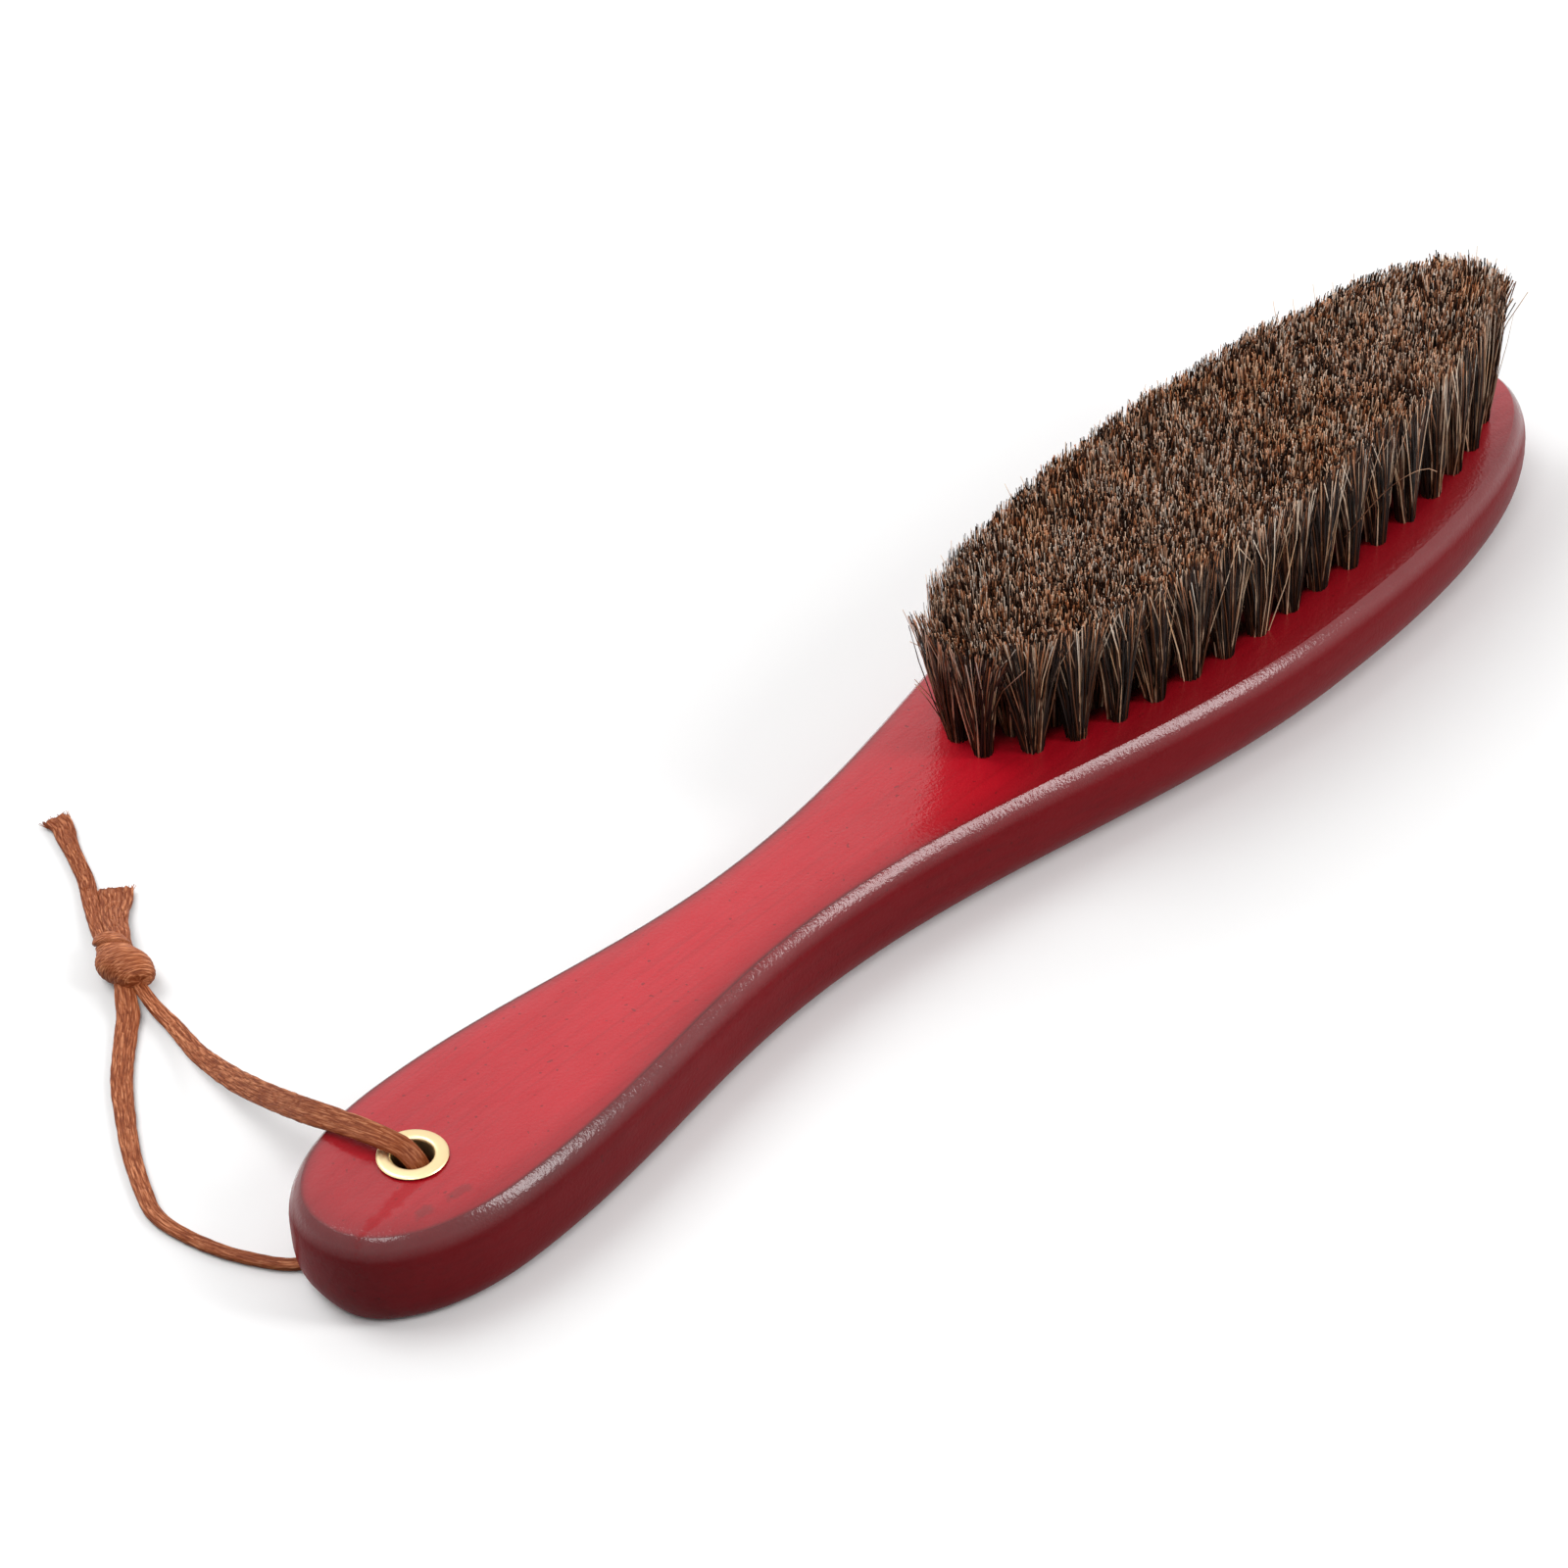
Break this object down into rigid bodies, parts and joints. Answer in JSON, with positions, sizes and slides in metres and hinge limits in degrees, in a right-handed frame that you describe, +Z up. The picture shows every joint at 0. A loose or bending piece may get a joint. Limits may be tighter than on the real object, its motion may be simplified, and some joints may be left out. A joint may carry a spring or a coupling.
{
  "type": "shoe brush",
  "caption": "Long-handled shoe polishing brush: lens-shaped red lacquered board with horsehair tufts, a brass eyelet and a knotted hanging cord.",
  "frame": {"origin": "on the surface the brush rests on, under the middle of the board", "axes": "+X along the board from the handle to the toe of the head, +Z up, out of the face that carries the hair"},
  "size_m": [0.2612, 0.1311, 0.0377],
  "materials": {
    "lacquered_wood": "red stained wood under clear gloss lacquer",
    "polished_brass": "polished pale brass",
    "horsehair": "mixed brown horsehair, trimmed flat",
    "waxed_cord": "waxed flat braided cord"
  },
  "bodies": {
    "root": {"wooden_body": "lacquered_wood", "top_eyelet": "polished_brass", "tufts_outer_left": "horsehair", "tufts_outer_right": "horsehair", "tufts_middle_left": "horsehair", "tufts_middle_right": "horsehair", "tufts_inner_left": "horsehair", "tufts_inner_right": "horsehair", "tufts_centre": "horsehair", "cord_loop": "waxed_cord", "cord_knot": "waxed_cord", "cord_long_tail": "waxed_cord", "cord_short_tail": "waxed_cord"}
  },
  "joints": []
}
